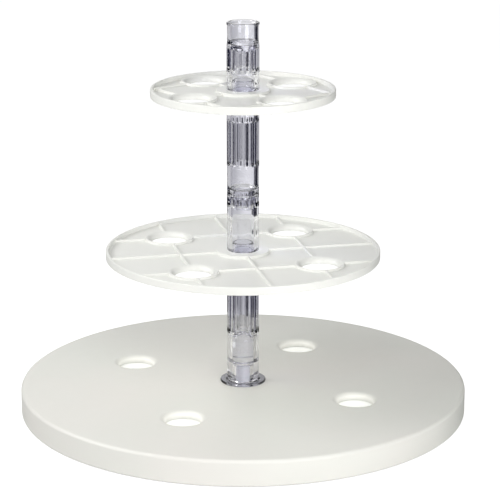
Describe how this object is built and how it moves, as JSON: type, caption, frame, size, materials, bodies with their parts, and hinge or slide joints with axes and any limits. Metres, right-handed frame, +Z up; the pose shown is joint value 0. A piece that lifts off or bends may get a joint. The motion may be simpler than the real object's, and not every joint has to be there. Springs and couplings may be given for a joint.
{
  "type": "three-level round stand",
  "caption": "Free-standing round stand: a thick base and two ribbed plates with round holes, stacked on a clear fluted column that unscrews into sections.",
  "frame": {"origin": "on the table, under the column's axis", "axes": "+Z up along the column; +Y away from the viewer and +X to the viewer's right, with the base's holes turned 17.5 degrees and the plates turned about the column as in the picture"},
  "size_m": [0.5, 0.5, 0.439],
  "materials": {
    "white_plastic": "satin moulded white plastic",
    "plate_plastic": "semi-gloss moulded white plastic",
    "clear_plastic": "clear moulded plastic with a faint violet cast",
    "washer_plastic": "thin clear plastic washer",
    "bolt_plastic": "moulded white plastic",
    "screw_steel": "zinc-plated steel",
    "foot_rubber": "matt rubber"
  },
  "bodies": {
    "base": {"base_shell": "white_plastic", "base_cover": "white_plastic", "cover_screw_1": "screw_steel", "cover_screw_2": "screw_steel", "cover_screw_3": "screw_steel", "cover_screw_4": "screw_steel", "foot_1": "foot_rubber", "foot_2": "foot_rubber", "foot_3": "foot_rubber", "foot_4": "foot_rubber"},
    "bolt": {"base_bolt": "bolt_plastic", "bolt_washer": "screw_steel"},
    "socket": {"column_socket": "clear_plastic"},
    "lower_column": {"lower_column": "clear_plastic", "middle_plate_washer": "washer_plastic"},
    "middle_plate": {"middle_plate": "plate_plastic"},
    "middle_coupler": {"middle_coupler": "clear_plastic"},
    "upper_column": {"upper_column": "clear_plastic", "top_plate_washer": "washer_plastic"},
    "top_plate": {"top_plate": "plate_plastic"},
    "top_section": {"top_section": "clear_plastic"},
    "top_cap": {"top_cap": "clear_plastic"}
  },
  "joints": [
    {"name": "bolt_out", "type": "slide", "parent": "base", "child": "bolt", "axis": [0, 0, -1], "range_m": [0, 0.055]},
    {"name": "socket_lift", "type": "slide", "parent": "base", "child": "socket", "axis": [0, 0, 1], "range_m": [0, 0.03]},
    {"name": "lower_column_lift", "type": "slide", "parent": "socket", "child": "lower_column", "axis": [0, 0, 1], "range_m": [0, 0.045]},
    {"name": "middle_plate_turn", "type": "hinge", "parent": "lower_column", "child": "middle_plate", "pos_m": [0, 0, 0.18], "axis": [0, 0, 1], "continuous": true},
    {"name": "middle_coupler_lift", "type": "slide", "parent": "lower_column", "child": "middle_coupler", "axis": [0, 0, 1], "range_m": [0, 0.045]},
    {"name": "upper_column_lift", "type": "slide", "parent": "middle_coupler", "child": "upper_column", "axis": [0, 0, 1], "range_m": [0, 0.045]},
    {"name": "top_plate_turn", "type": "hinge", "parent": "upper_column", "child": "top_plate", "pos_m": [0, 0, 0.362], "axis": [0, 0, 1], "continuous": true},
    {"name": "top_section_lift", "type": "slide", "parent": "upper_column", "child": "top_section", "axis": [0, 0, 1], "range_m": [0, 0.045]},
    {"name": "top_cap_lift", "type": "slide", "parent": "top_section", "child": "top_cap", "axis": [0, 0, 1], "range_m": [0, 0.035]}
  ]
}
